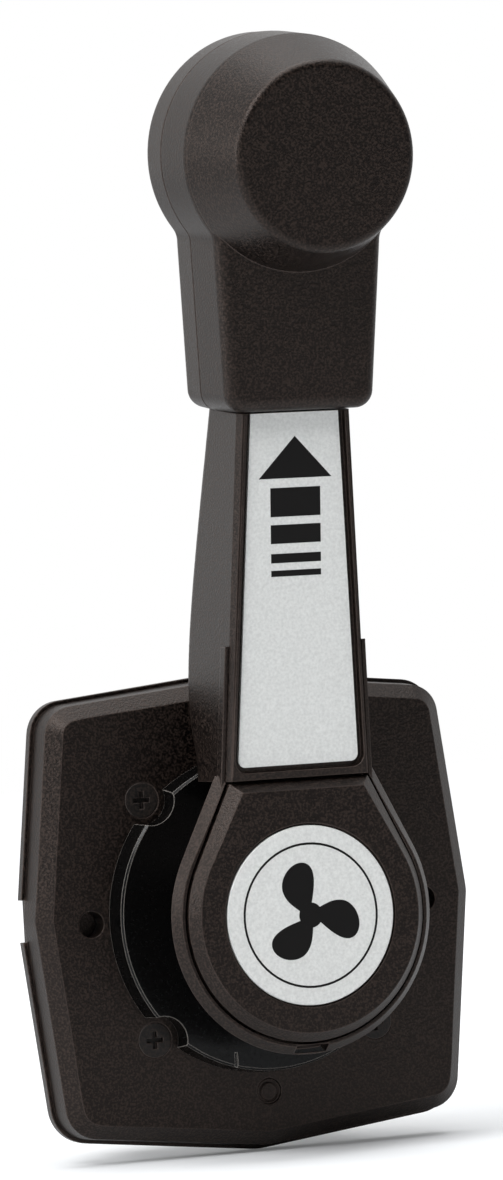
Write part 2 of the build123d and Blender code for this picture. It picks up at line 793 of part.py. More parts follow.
def make_hub_shell():
    rear = hub_outline(hub_draft)
    shell = loft([level(hub_rear_out) * rear, level(hub_edge_out) * hub_outline()], ruled=True)
    shell += loft([level(hub_edge_out) * hub_outline(),
                   level(hub_face_out) * hub_outline(hub_chamfer)], ruled=True)
    shell += neck_blank()
    floor_front = hub_floor_out + hub_floor
    shell -= slab(cap_outline(-cap_gap), cap_ledge_out, cap_face_out + cap_gap)
    shell -= slab(cap_outline(cap_ledge), floor_front, cap_ledge_out)
    under = slab(hub_outline(hub_draft + hub_wall), 0, hub_floor_out)
    for x, z in tongue_screw_spots():
        under -= rod(small_boss_radius, 0, hub_floor_out, x, z)
    shell -= under & slab(Rectangle(2 * hub_radius, 2 * hub_radius), hub_rear_out, hub_floor_out)
    shell += rod(hub_boss_radius, hub_boss_rear, hub_boss_front)
    side = square_side + 2 * moulding_gap
    shell -= slab(Rectangle(side, side), square_start, hub_boss_front)
    shell -= rod(shaft_radius + thrust_gap, hub_boss_rear, square_start)
    shell -= arm_blank(moulding_gap) + tongue(moulding_gap)
    for x, z in tongue_screw_spots():
        shell -= rod(small_screw_radius + seat_fit, floor_front - small_screw_reach,
                     floor_front, x, z)
    slot = Pos(0, pry_lip + pry_height / 2 - hub_radius) * Rectangle(pry_width, pry_height)
    return shell - slab(slot, hub_face_out - pry_depth, hub_face_out)


def make_hub_cap():
    cap = loft([level(cap_edge_out) * cap_outline(), level(cap_face_out) * cap_outline(cap_bevel)],
               ruled=True)
    cap += slab(cap_outline(), cap_ledge_out, cap_edge_out)
    cap -= slab(cap_outline(cap_ledge), cap_ledge_out, cap_face_out - cap_skin)
    return cap - rod(badge_radius + badge_groove, cap_face_out - badge_recess, cap_face_out)


def make_badge():
    floor = cap_face_out - badge_recess
    badge = rod(badge_radius, floor, floor + badge_thickness)
    return chamfer(badge.faces().sort_by(Axis.Y)[0].edges(), badge_edge)


def make_hub_washer():
    return ring(washer_radius, hub_screw_radius + moulding_gap, hub_boss_front,
                hub_boss_front + washer_thickness)


def make_hub_screw():
    seat = hub_boss_front + washer_thickness
    head = slab(RegularPolygon(hub_screw_flat / 2, 6, major_radius=False),
                seat, seat + hub_screw_head)
    return head + rod(hub_screw_radius, seat - hub_screw_reach, seat)


# ---- lever arm --------------------------------------------------------------------------
def decal_outline(grow=0.0):
    bottom_x, top_x = decal_bottom_x + grow, decal_top_x + grow
    sheet = make_face(Polyline((-bottom_x, -grow), (bottom_x, -grow), (top_x, decal_length),
                               (-top_x, decal_length), close=True))
    return fillet(sheet.vertices().group_by(Axis.Y)[0], decal_corner + grow)


def face_line(side):
    """Fine groove between the decal and one long edge of the arm."""
    low_x, high_x = side * (decal_bottom_x + arm_line), side * (decal_top_x + arm_line)
    width = side * arm_line_width
    return make_face(Polyline((low_x, -arm_line), (low_x + width, -arm_line),
                              (high_x + width, decal_length), (high_x, decal_length), close=True))


def make_lever_arm():
    arm = arm_blank()
    front = arm.faces().sort_by(Axis.Y)[0]
    long_edges = front.edges().filter_by(lambda edge: edge.length > face_out)
    arm = chamfer(long_edges, arm_edge, arm_edge_depth, reference=front)
    tang = Pos(0, (decal_length + tang_end) / 2 - 2 * decal_groove) * Rectangle(
        2 * tang_x, tang_end - decal_length + 4 * decal_groove)
    arm += lean_slab(tang, tang_rear, tang_front)
    arm += tongue()
    arm -= lean_slab(decal_outline(decal_groove), -decal_thickness, 2 * arm_rim)
    for side in (-1, 1):
        arm -= lean_slab(face_line(side), arm_rim - arm_line_depth, 2 * arm_rim)
    floor = hub_floor_out + hub_floor
    for x, z in tongue_screw_spots():
        arm -= rod(small_screw_radius + moulding_gap, floor, floor + tongue_thickness, x, z)
    for spot in knob_screw_spots:
        arm -= lean_slab(Pos(0, spot) * Circle(knob_screw_radius + moulding_gap),
                         tang_rear, tang_front)
    return arm


def make_arm_screws():
    seat = hub_floor_out + hub_floor + tongue_thickness
    reach = tongue_thickness + small_screw_reach - lay_floor_skin
    return Part() + [
        pan_screw(small_head_radius, small_head_height, small_screw_radius, seat, 1, reach, x, z)
        for x, z in tongue_screw_spots()
    ]


def make_decal_plate():
    return lean_slab(decal_outline(), -decal_thickness, 0)


# ---- knob -------------------------------------------------------------------------------
def knob_outline(inset=0.0):
    """Round head over a tapering neck."""
    low = knob_neck_bottom + inset
    neck = make_face(Polyline(
        (-knob_neck_bottom_x + inset, low), (knob_neck_bottom_x - inset, low),
        (knob_neck_top_x - inset, knob_neck_top), (knob_neck_top_x - inset, knob_head_at),
        (-knob_neck_top_x + inset, knob_head_at), (-knob_neck_top_x + inset, knob_neck_top),
        close=True))
    neck = fillet(neck.vertices().group_by(Axis.Y)[0], knob_bottom_radius - inset / 2)
    whole = neck + Pos(0, knob_head_at) * Circle(knob_head_radius - inset)
    head = Vector(0, knob_head_at)
    crotch = whole.vertices().filter_by(
        lambda v: abs((v.center() - head).length - knob_head_radius + inset) < same_place
        and v.Y < knob_head_at - knob_crotch_radius)
    return fillet(crotch, knob_crotch_radius)


def pillar(start, end, spot, radius):
    return lean_slab(Pos(0, spot) * Circle(radius), start, end)


def knob_hollow(start, end):
    """Inside of a knob shell, with a throat at the bottom for the tang."""
    hollow = lean_slab(knob_outline(knob_wall), start, end)
    throat = Pos(0, knob_neck_bottom + knob_wall) * Rectangle(
        2 * (tang_x + moulding_gap), 4 * knob_wall)
    low, high = max(start, tang_rear - moulding_gap), min(end, tang_front + moulding_gap)
    return hollow + lean_slab(throat, low, high)


def make_knob_front():
    shell = extrude(lean(knob_seam) * knob_outline(), knob_front - knob_seam, taper=knob_draft)
    shell = fillet(shell.faces().sort_by(Axis.Y)[0].edges(), knob_front_round)
    shell = chamfer(shell.faces().sort_by(Axis.Y)[-1].edges(), knob_seam_bevel)
    centre = Pos(0, knob_head_at)
    boss = loft([lean(knob_front - knob_wall / 2) * centre * Circle(boss_base_radius),
                 lean(boss_face) * centre * Circle(boss_face_radius)], ruled=True)
    boss = fillet(boss.faces().sort_by(Axis.Y)[0].edges(), boss_round)
    shell += boss
    hollow = knob_hollow(knob_seam, knob_front - knob_wall)
    for spot in knob_screw_spots:
        hollow -= pillar(tang_front, knob_front, spot, knob_pillar_radius)
    shell -= hollow
    inner = lean_slab(centre * Circle(boss_face_radius - knob_wall),
                      knob_front - 2 * knob_wall, boss_face - knob_wall)
    inner -= pillar(tang_front, boss_face, knob_screw_spots[-1], knob_pillar_radius)
    shell -= inner
    for spot in knob_screw_spots:
        shell -= pillar(tang_front, knob_front - knob_wall, spot, knob_screw_radius + seat_fit)
    return shell


def make_knob_rear():
    outline = lean(knob_seam) * knob_outline()
    shell = extrude(outline, knob_rear - knob_seam, taper=knob_draft)
    shell = fillet(shell.faces().sort_by(Axis.Y)[-1].edges(), knob_rear_round)
    shell = chamfer(shell.faces().sort_by(Axis.Y)[0].edges(), knob_seam_bevel)
    hollow = knob_hollow(knob_rear + knob_wall, knob_seam)
    for spot in knob_screw_spots:
        hollow -= pillar(knob_rear, tang_rear, spot, knob_pillar_radius + knob_wall / 2)
    shell -= hollow
    for spot in knob_screw_spots:
        shell -= pillar(knob_rear, tang_rear, spot, knob_screw_radius + moulding_gap)
        shell -= pillar(knob_rear, knob_rear + knob_screw_head + knob_counterbore, spot,
                        knob_head_screw_radius + moulding_gap)
    return shell


def make_knob_screws():
    seat = knob_rear + knob_screw_head + knob_counterbore
    screws = []
    for spot in knob_screw_spots:
        head = pillar(seat - knob_screw_head, seat, spot, knob_head_screw_radius)
        shank = pillar(seat, knob_front - 1.5 * knob_wall, spot, knob_screw_radius)
        recess = lean_slab(Pos(0, spot) * cross_recess(knob_head_screw_radius),
                           seat - knob_screw_head, seat - knob_screw_head + recess_depth)
        screws.append(head + shank - recess)
    return Part() + screws


# ---- nodes ------------------------------------------------------------------------------
nodes = {
    "back_plate": make_back_plate,
    "cover_plate": make_cover_plate,
    "collar": make_collar,
    "frame_screws": make_frame_screws,
    "shaft_bush": make_shaft_bush,
    "gear_housing": make_housing,
    "rear_cover": make_rear_cover,
    "rear_cover_screws": make_rear_screws,
    "friction_pad": make_friction_pad,
    "friction_screw": make_friction_screw,
    "cable_bracket": make_cable_bracket,
    "bracket_screws": make_bracket_screws,
    "anchor_stud": make_anchor_stud,
    "anchor_barrel": make_anchor_barrel,
    "drive_shaft": make_drive_shaft,
    "drive_pinion": make_drive_pinion,
    "gear_key": make_gear_key,
    "retaining_ring": make_retaining_ring,
    "throttle_sector": make_throttle_sector,
    "lay_shaft": make_lay_shaft,
    "throttle_arm": make_throttle_arm,
    "arm_nut": make_arm_nut,
    "arm_pin": make_arm_pin,
    "pin_clip": make_pin_clip,
    "cable_eye": make_cable_eye,
    "hub_shell": make_hub_shell,
    "hub_cap": make_hub_cap,
    "badge_disc": make_badge,
    "hub_washer": make_hub_washer,
    "hub_screw": make_hub_screw,
    "lever_arm": make_lever_arm,
    "arm_screws": make_arm_screws,
    "decal_plate": make_decal_plate,
    "knob_front": make_knob_front,
    "knob_rear": make_knob_rear,
    "knob_screws": make_knob_screws,
}

os.makedirs("parts", exist_ok=True)
for name, make in nodes.items():
    export_step(make(), f"parts/{name}.step")
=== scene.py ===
import math

import bmesh
import bpy
from bpy.props import FloatProperty, FloatVectorProperty, IntProperty, PointerProperty
from mathutils import Matrix, Vector


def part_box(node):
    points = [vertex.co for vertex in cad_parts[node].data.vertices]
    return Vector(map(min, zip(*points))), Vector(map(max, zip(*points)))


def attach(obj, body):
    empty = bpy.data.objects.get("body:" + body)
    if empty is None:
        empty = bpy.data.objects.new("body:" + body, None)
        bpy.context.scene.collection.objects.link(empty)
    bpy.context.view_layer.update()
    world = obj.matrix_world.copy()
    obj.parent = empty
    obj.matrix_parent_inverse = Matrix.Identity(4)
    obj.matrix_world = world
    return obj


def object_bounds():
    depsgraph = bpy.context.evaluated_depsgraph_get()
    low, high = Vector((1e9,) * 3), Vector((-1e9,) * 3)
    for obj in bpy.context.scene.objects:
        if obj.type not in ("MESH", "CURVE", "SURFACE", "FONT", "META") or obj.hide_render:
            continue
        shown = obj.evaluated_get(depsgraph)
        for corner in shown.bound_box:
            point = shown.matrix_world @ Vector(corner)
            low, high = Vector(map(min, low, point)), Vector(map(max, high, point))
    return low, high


bl_info = {
    "name": "Boat throttle lever looks",
    "version": (1, 0, 0),
    "blender": (4, 5, 0),
    "location": "3D View > Sidebar > Throttle Lever",
    "description": "Finishes, printed signs, hole plug and studio for a side-mount throttle lever",
    "category": "Object",
}

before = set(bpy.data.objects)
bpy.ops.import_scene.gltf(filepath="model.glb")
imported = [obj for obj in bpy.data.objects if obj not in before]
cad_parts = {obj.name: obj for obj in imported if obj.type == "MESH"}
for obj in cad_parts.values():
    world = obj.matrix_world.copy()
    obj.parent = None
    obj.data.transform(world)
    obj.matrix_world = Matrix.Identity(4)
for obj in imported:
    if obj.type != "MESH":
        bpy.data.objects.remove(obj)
CAD_LOW, CAD_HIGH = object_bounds()
MM = 0.001

# Most values of a noise texture lie between these
NOISE_SPAN = (0.3, 0.7)
# Shader sockets that a finish sets to a constant
SOCKETS = {"ior": "IOR", "specular": "Specular IOR Level", "tint": "Specular Tint",
           "metallic": "Metallic"}
# Printed bars from the top down: height, and the space below, in heights of the first bar
BARS = ((1.0, 0.28), (0.65, 0.35), (0.32, 0.26), (0.21, 0.0))
# Studio lamps: name, power setting, width and place in metres
LAMPS = (("left_lamp", "left_power", 0.5, (-1.3, 0.0, 0.4)),
         ("top_lamp", "top_power", 1.2, (0.0, -0.1, 1.3)),
         ("front_lamp", "front_power", 0.8, (-1.0, -0.8, 1.2)))

# CAD nodes by what they are made of
ASA_NODES = ("back_plate", "cover_plate", "hub_shell", "hub_cap", "lever_arm",
             "knob_front", "knob_rear")
FOIL_NODES = ("decal_plate", "badge_disc")
ACETAL_NODES = ("shaft_bush", "friction_pad")
HOUSING_NODES = ("gear_housing", "rear_cover")
STAINLESS_NODES = ("drive_shaft", "lay_shaft", "gear_key", "retaining_ring", "throttle_arm",
                   "arm_nut", "arm_pin", "pin_clip", "cable_eye", "anchor_stud",
                   "friction_screw")
ZINC_NODES = ("cable_bracket", "bracket_screws", "rear_cover_screws", "drive_pinion",
              "throttle_sector", "hub_washer", "hub_screw", "arm_screws", "knob_screws")


# ---- colours and nodes ------------------------------------------------------------------
def linear(text):
    """Turns an sRGB hex colour into linear red, green, blue and alpha."""
    shares = [int(text[i:i + 2], 16) / 255 for i in (1, 3, 5)]
    return [s / 12.92 if s <= 0.04045 else ((s + 0.055) / 1.055) ** 2.4 for s in shares] + [1.0]


def add_node(tree, kind, inputs=None, **settings):
    """Adds a node; a socket given as an input is linked, and any other value is set."""
    node = tree.nodes.new(kind)
    for name, value in settings.items():
        setattr(node, name, value)
    for name, value in (inputs or {}).items():
        if isinstance(value, bpy.types.NodeSocket):
            tree.links.new(value, node.inputs[name])
        else:
            node.inputs[name].default_value = value
    return node


def new_material(name):
    """Empty node material with its shader; returns material, tree and shader."""
    material = bpy.data.materials.new(name)
    material.use_nodes = True
    tree = material.node_tree
    tree.nodes.clear()
    shader = add_node(tree, "ShaderNodeBsdfPrincipled")
    add_node(tree, "ShaderNodeOutputMaterial", {"Surface": shader.outputs[0]})
    return material, tree, shader


def blended(tree, share, low, high):
    """Colour between low and high by a share."""
    node = add_node(tree, "ShaderNodeMix", {0: share, 6: low, 7: high}, data_type="RGBA")
    return node.outputs[2]


def ranged(tree, value, low, high, start=0.0, end=1.0):
    """Value carried from the range start to end onto low to high."""
    node = add_node(tree, "ShaderNodeMapRange",
                    {0: value, 1: start, 2: end, 3: low, 4: high})
    return node.outputs[0]


def sharpened(tree, noise, start, end):
    """Share that goes from 0 to 1 while the noise goes from start to end."""
    return ranged(tree, noise, 0.0, 1.0, start, end)


def roughness_over(tree, noise, low, high):
    """Roughness from low to high over the span where most of the noise lies."""
    return ranged(tree, noise, low, high, *NOISE_SPAN)


def grain_of(tree, size, stretch=(1, 1, 1), detail=2.0):
    """Noise whose lumps are about size metres across, fixed to the piece."""
    place = add_node(tree, "ShaderNodeTexCoord")
    placed = add_node(tree, "ShaderNodeMapping", {0: place.outputs["Object"], 3: stretch})
    noise = add_node(tree, "ShaderNodeTexNoise",
                     {"Vector": placed.outputs[0], "Scale": 1 / size, "Detail": detail})
    return noise.outputs["Fac"]


# Edge share: pales the edges in some finishes, as rubbed wear and, on the mouldings and the collar,
# also as a painted highlight.
def edge_wear_and_highlight(tree, radius):
    """Share from 0 on open faces to 1 on sharp outer edges, and the softened normal."""
    soft = add_node(tree, "ShaderNodeBevel", {"Radius": radius}, samples=6)
    flat = add_node(tree, "ShaderNodeNewGeometry")
    along = add_node(tree, "ShaderNodeVectorMath",
                     {0: soft.outputs[0], 1: flat.outputs["Normal"]}, operation="DOT_PRODUCT")
    edge_share = ranged(tree, along.outputs["Value"], low=1.0, high=0.0, start=0.90, end=0.995)
    return edge_share, soft.outputs[0]


def multiplied(tree, first, second):
    """Product of two values."""
    node = add_node(tree, "ShaderNodeMath", {0: first, 1: second}, operation="MULTIPLY")
    return node.outputs[0]


def highest(tree, first, second):
    """Larger of two values."""
    node = add_node(tree, "ShaderNodeMath", {0: first, 1: second}, operation="MAXIMUM")
    return node.outputs[0]


def dress(tree, shader, colour, roughness, height, strength, depth, soft=None, **constants):
    """Joins colour, roughness and a bump of the given depth to the shader, and sets constants."""
    bump = add_node(tree, "ShaderNodeBump",
                    {"Height": height, "Strength": strength, "Distance": depth})
    if soft is not None:
        tree.links.new(soft, bump.inputs["Normal"])
    tree.links.new(colour, shader.inputs["Base Color"])
    tree.links.new(roughness, shader.inputs["Roughness"])
    tree.links.new(bump.outputs[0], shader.inputs["Normal"])
    for name, value in constants.items():
        shader.inputs[SOCKETS[name]].default_value = value


# ---- finishes ---------------------------------------------------------------------------
def grained_asa(colours, sizes):
    # Black ASA moulded in a spark-eroded tool: an even fine grain that scatters the gloss, faint
    # flow marks, and a browner paler tone on the edges, partly rubbed wear and partly a painted
    # highlight. The grain is drawn about three times as coarse as the real 0.2 mm, so that it
    # shows at this distance.
    material, tree, shader = new_material("grained_asa")
    grain = grain_of(tree, sizes.grain, detail=3.0)
    flow = grain_of(tree, 30 * MM)
    edge_share, soft = edge_wear_and_highlight(tree, 0.5 * MM)
    body = blended(tree, sharpened(tree, grain, 0.46, 0.62), colours.asa_dark, colours.asa)
    # Paler edges, broken up by the flow noise: partly rubbed wear, partly a painted highlight.
    rubbed_and_highlit = multiplied(tree, edge_share, ranged(tree, flow, 0.15, 0.8, *NOISE_SPAN))
    dress(tree, shader, blended(tree, rubbed_and_highlit, body, colours.asa_worn_and_highlight),
          roughness_over(tree, grain, 0.30, 0.46), height=grain, strength=1.0,
          depth=sizes.grain_height, soft=soft, ior=1.5, specular=0.3, tint=colours.asa_sheen)
    return material


def polished_nylon(colours):
    # Black nylon moulded in a polished tool: the collar is a bearing face, so it is smoother and
    # darker than the grained mouldings, with slight sink and fine turning scratches. Its sharp
    # edges are painted pale grey: a painted highlight.
    material, tree, shader = new_material("polished_nylon")
    sink = grain_of(tree, 12 * MM)
    scratch = grain_of(tree, 0.9 * MM, stretch=(1, 0.2, 1), detail=4.0)
    edge_share, soft = edge_wear_and_highlight(tree, 0.35 * MM)
    # Pale grey on the edges: a painted highlight along the collar's rim.
    dress(tree, shader, blended(tree, edge_share, colours.nylon, colours.nylon_edge_highlight),
          ranged(tree, scratch, low=0.16, high=0.28, start=0.35, end=0.65), height=sink,
          strength=0.25, depth=0.2 * MM, soft=soft, ior=1.53, specular=0.15)
    return material


def glass_filled_nylon(colours):
    # Black glass-filled nylon, moulded: short fibres near the skin give pale streaks of about
    # 1 mm and an uneven, drier gloss than plain nylon.
    material, tree, shader = new_material("glass_filled_nylon")
    fibres = grain_of(tree, 1.0 * MM, stretch=(1, 1, 0.25), detail=4.0)
    cloud = grain_of(tree, 20 * MM)
    edge_share, soft = edge_wear_and_highlight(tree, 0.4 * MM)
    skin = blended(tree, sharpened(tree, fibres, 0.45, 0.75), colours.housing,
                   colours.housing_streak)
    # Edges paled to the ASA edge colour: partly rubbed wear, partly a painted highlight.
    dress(tree, shader, blended(tree, edge_share, skin, colours.asa_worn_and_highlight),
          roughness_over(tree, cloud, 0.42, 0.62), height=fibres, strength=0.4,
          depth=0.06 * MM, soft=soft, ior=1.54)
    return material


def natural_acetal(colours):
    # Natural acetal, turned: milky white and waxy, with the rings that the lathe tool leaves,
    # drawn at 0.6 mm where the real ones are 0.2 mm apart.
    material, tree, shader = new_material("natural_acetal")
    rings = grain_of(tree, 0.6 * MM, stretch=(0.05, 1, 0.05))
    dress(tree, shader, blended(tree, rings, colours.acetal, colours.acetal_shade),
          ranged(tree, rings, low=0.3, high=0.45), height=rings, strength=0.3,
          depth=0.03 * MM, ior=1.48)
    return material


def satin_foil(colours):
    # Satin silver polyester foil under a matt overlay: nearly even light grey with a fine
    # pigment speckle and a very soft sheen, so nothing mirrors in it.
    material, tree, shader = new_material("satin_foil")
    speckle = grain_of(tree, 0.7 * MM, detail=4.0)
    cloud = grain_of(tree, 50 * MM)
    tone = blended(tree, sharpened(tree, speckle, *NOISE_SPAN), colours.foil_dark, colours.foil)
    dress(tree, shader, tone, roughness_over(tree, cloud, 0.5, 0.62), height=speckle,
          strength=0.25, depth=0.03 * MM, metallic=0.1)
    return material


def screen_ink(colours):
    # Black screen-printing ink: slightly brown, with the faint weave of the printing mesh, drawn
    # at 0.4 mm where the real mesh is finer.
    material, tree, shader = new_material("screen_ink")
    weave = grain_of(tree, 0.4 * MM, detail=4.0)
    dress(tree, shader, blended(tree, weave, colours.ink, colours.oxide),
          ranged(tree, weave, low=0.45, high=0.6), height=weave, strength=0.3,
          depth=0.02 * MM, specular=0.2)
    return material


def turned_stainless(colours):
    # Stainless steel turned on a lathe: rings across the axis every 0.1 mm, drawn at 0.5 mm,
    # which pull the highlight out along the axis.
    material, tree, shader = new_material("turned_stainless")
    rings = grain_of(tree, 0.5 * MM, stretch=(0.05, 1, 0.05), detail=3.0)
    smears = grain_of(tree, 6 * MM)
    edge_share, soft = edge_wear_and_highlight(tree, 0.25 * MM)
    tone = blended(tree, smears, colours.steel_dark, colours.steel)
    dress(tree, shader, blended(tree, edge_share, tone, colours.steel),
          roughness_over(tree, rings, 0.22, 0.4), height=rings, strength=0.35,
          depth=0.03 * MM, soft=soft, metallic=1.0)
    return material


def zinc_plated_steel(colours):
    # Bright zinc plate with a clear passivation on stamped and headed steel: bluish with faint
    # straw clouds a few millimetres wide and small pits.
    material, tree, shader = new_material("zinc_plated_steel")
    clouds = grain_of(tree, 5 * MM, detail=3.0)
    pits = grain_of(tree, 0.6 * MM, detail=4.0)
    edge_share, soft = edge_wear_and_highlight(tree, 0.3 * MM)
    tone = blended(tree, sharpened(tree, clouds, 0.35, 0.65), colours.zinc, colours.zinc_straw)
    dress(tree, shader, blended(tree, edge_share, tone, colours.steel),
          roughness_over(tree, pits, 0.28, 0.48), height=pits, strength=0.35,
          depth=0.04 * MM, soft=soft, metallic=1.0)
    return material


def blackened_steel(colours, sizes):
    # Steel screws blackened in a thick dry oxide, which hides the metal: near black and matt,
    # with the fine speckle of the oxide and slightly paler rims round the recess and the head,
    # partly rubbed wear and partly a painted highlight.
    material, tree, shader = new_material("blackened_steel")
    crystals = grain_of(tree, sizes.grain, detail=3.0)
    edge_share, soft = edge_wear_and_highlight(tree, 0.3 * MM)
    body = blended(tree, sharpened(tree, crystals, 0.4, 0.65), colours.oxide, colours.asa)
    # Paler rims: partly rubbed wear, partly a painted highlight.
    rubbed_and_highlit = multiplied(tree, edge_share, crystals)
    dress(tree, shader, blended(tree, rubbed_and_highlit, body, colours.asa_worn_and_highlight),
          roughness_over(tree, crystals, 0.45, 0.65), height=crystals, strength=0.2,
          depth=0.04 * MM, soft=soft, specular=0.3)
    return material


def turned_brass(colours):
    # Brass turned from bar: warm yellow, tool rings along the axis and a light brown tarnish in
    # patches.
    material, tree, shader = new_material("turned_brass")
    rings = grain_of(tree, 0.5 * MM, stretch=(0.05, 1, 0.05), detail=3.0)
    tarnish = grain_of(tree, 4 * MM, detail=4.0)
    tone = blended(tree, sharpened(tree, tarnish, 0.4, 0.7), colours.brass,
                   colours.brass_tarnish)
    dress(tree, shader, tone, roughness_over(tree, tarnish, 0.22, 0.45), height=rings,
          strength=0.3, depth=0.03 * MM, metallic=1.0)
    return material


def finish_nodes(names, material):
    """Gives CAD nodes their material."""
    for name in names:
        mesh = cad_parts[name].data
        mesh.materials.clear()
        mesh.materials.append(material)


def hex_prop(text, name, description):
    return FloatVectorProperty(name=name, description=description, subtype="COLOR", size=4,
                               min=0.0, max=1.0, default=linear(text))


def length_prop(millimetres, name, description):
    return FloatProperty(name=name, description=description, unit="LENGTH", precision=5,
                         min=0.0, default=millimetres * MM)


def power_prop(watts, name, description):
    return FloatProperty(name=name, description=description, unit="POWER", min=0.0,
                         default=watts)


class LeverColours(bpy.types.PropertyGroup):
    """Colours of the finishes."""
    asa: hex_prop("#271F1B", "ASA", "Raised grain of the black mouldings")
    asa_dark: hex_prop("#020101", "ASA hollow", "Hollows of the moulded grain")
    # Edge colour of the mouldings: partly rubbed wear, partly a painted highlight.
    asa_worn_and_highlight: hex_prop("#5A4E49", "ASA edge", "Rubbed edges of the mouldings")
    asa_sheen: hex_prop("#FFEDE4", "ASA sheen", "Tint of the gloss of the black mouldings")
    nylon: hex_prop("#060606", "Collar", "Polished nylon of the collar")
    # Pale grey on the collar's edges: a painted highlight.
    nylon_edge_highlight: hex_prop("#8A8580", "Collar edge", "Rubbed bright edge of the collar")
    housing: hex_prop("#141312", "Housing", "Glass-filled nylon of the gear housing")
    housing_streak: hex_prop("#2E2C2A", "Housing fibre", "Fibre streaks in the housing")
    acetal: hex_prop("#E8E3D4", "Acetal", "Bush and brake pad")
    acetal_shade: hex_prop("#D6CFBC", "Acetal shade", "Hollows of the turned acetal")
    foil: hex_prop("#E3E4E2", "Foil", "Silver foil of the lever's face plate and badge")
    foil_dark: hex_prop("#D1D2D0", "Foil speckle", "Dark speckle of the foil")
    ink: hex_prop("#050404", "Ink", "Printed signs")
    steel: hex_prop("#C9C6C0", "Stainless", "Stainless steel")
    steel_dark: hex_prop("#A8A49D", "Stainless smear", "Duller stainless steel")
    zinc: hex_prop("#C4C8CC", "Zinc", "Zinc plate")
    zinc_straw: hex_prop("#CFC9B4", "Zinc straw", "Straw clouds of the zinc plate")
    oxide: hex_prop("#0A0807", "Black oxide", "Blackened screws")
    brass: hex_prop("#CDA75C", "Brass", "Conduit anchor")
    brass_tarnish: hex_prop("#8F6E3A", "Brass tarnish", "Tarnish of the conduit anchor")


class GrainSizes(bpy.types.PropertyGroup):
    """Grain of the mouldings."""
    grain: length_prop(0.55, "Grain", "Width of one lump of the moulded grain")
    grain_height: length_prop(0.1, "Grain height", "Height of the moulded grain")


class SignSizes(bpy.types.PropertyGroup):
    """Arrow sign on the lever's face plate, measured up the leaning face."""
    lean: FloatProperty(name="Lean", description="Outward lean of the lever's face",
                        subtype="ANGLE", default=math.radians(6.66))
    face_out: length_prop(43.5, "Face out", "Foot of the face in front of the panel")
    face_up: length_prop(37.1, "Face up", "Foot of the face above the pivot")
    tip: length_prop(81.0, "Tip", "Arrow tip above the foot")
    barb: length_prop(70.7, "Barb", "Arrow barbs above the foot")
    barb_half: length_prop(9.65, "Barb half width", "Half the width of the arrow")
    bar_half: length_prop(6.62, "Bar half width", "Half the width of the bars")
    bar_top: length_prop(68.4, "First bar", "Top of the first bar above the foot")
    bar_height: length_prop(7.1, "First bar height", "Height of the first bar")
    film: length_prop(0.04, "Film", "Thickness of the ink film")


class BadgeSizes(bpy.types.PropertyGroup):
    """Plain propeller sign on the badge."""
    blades: IntProperty(name="Blades", description="Blades of the propeller sign", min=2, max=6,
                        default=3)
    first_turn: FloatProperty(name="First blade", description="First blade's turn from upright",
                              subtype="ANGLE", default=math.radians(30))
    blade_reach: length_prop(12.8, "Blade reach", "Tip of a blade from the centre")
    blade_half: length_prop(4.7, "Blade half width", "Half the greatest width of a blade")
    broadest: FloatProperty(name="Broadest", description="Where a blade is broadest, root to tip",
                            default=0.62, min=0.1, max=0.9)
    root_share: FloatProperty(name="Root share", description="Share of a blade's width at its root",
                              default=0.4, min=0.0, max=1.0)
    sweep: FloatProperty(name="Sweep", description="Tip's offset, as a share of the half width",
                         default=0.55)
    boss: length_prop(3.1, "Boss", "Radius of the sign's boss")
    boss_film: length_prop(0.048, "Boss film", "Thickness of the ink on the boss")
    ring: length_prop(17.6, "Ring", "Radius of the thin printed ring")
    ring_width: length_prop(0.55, "Ring width", "Width of the thin printed ring")
    film: length_prop(0.04, "Film", "Thickness of the ink film")


class PlugSizes(bpy.types.PropertyGroup):
    """Plug in the lowest mounting hole and sunk blanks in the other three, which also stand in for
    shade.
    """
    pitch: length_prop(45.0, "Pitch", "Mounting holes from the pivot")
    radius: length_prop(3.2, "Radius", "Radius of the plug's rim")
    rim: length_prop(0.55, "Rim", "Width of the plug's rim")
    groove: length_prop(0.5, "Groove", "Depth of the groove inside the rim")
    face_out: length_prop(12.3, "Face out", "Plug's face in front of the panel")
    skirt: length_prop(3.0, "Skirt", "Length of the plug's skirt")
    edge: length_prop(0.15, "Edge", "Bevel of the plug's edges")
    # Sunk blanks darken their holes: partly guessed plugs, partly a dark stand-in for shade.
    blank_out: length_prop(7.0, "Blank out", "Face of a sunk blank in front of the panel")


